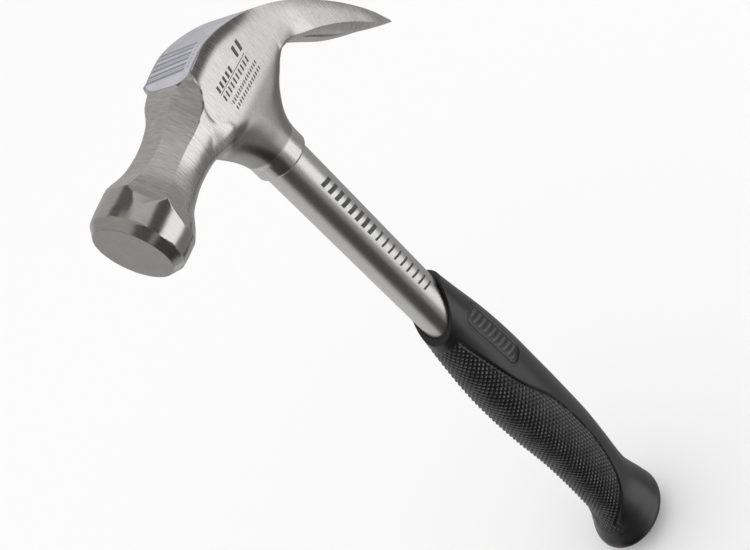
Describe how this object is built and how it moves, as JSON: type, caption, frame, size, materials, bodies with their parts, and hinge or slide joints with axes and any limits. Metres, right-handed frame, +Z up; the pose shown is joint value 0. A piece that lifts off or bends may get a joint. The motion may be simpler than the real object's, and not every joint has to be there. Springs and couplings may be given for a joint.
{
  "type": "claw hammer",
  "caption": "Curved claw hammer with a forged steel head, a tubular steel handle and a moulded rubber grip.",
  "frame": {"origin": "on the handle axis at the mouth of the collar, where the tube enters the head", "axes": "+Z runs up the handle through the head, +X towards the claws, the striking face towards -X, +Y to the side"},
  "size_m": [0.1403, 0.0328, 0.3285],
  "materials": {
    "head_steel": "ground and brushed",
    "tube_steel": "satin",
    "adhesive": "matt",
    "plug_wood": "bare",
    "plug_plastic": "matt",
    "grip_rubber": "satin, studded",
    "label_paper": "semi-gloss printed"
  },
  "bodies": {
    "root": {"head": "head_steel", "handle_tube": "tube_steel", "eye_bond": "adhesive", "eye_plug": "plug_wood", "tube_end_plug": "plug_plastic", "grip": "grip_rubber", "barcode_label": "label_paper"}
  },
  "joints": []
}
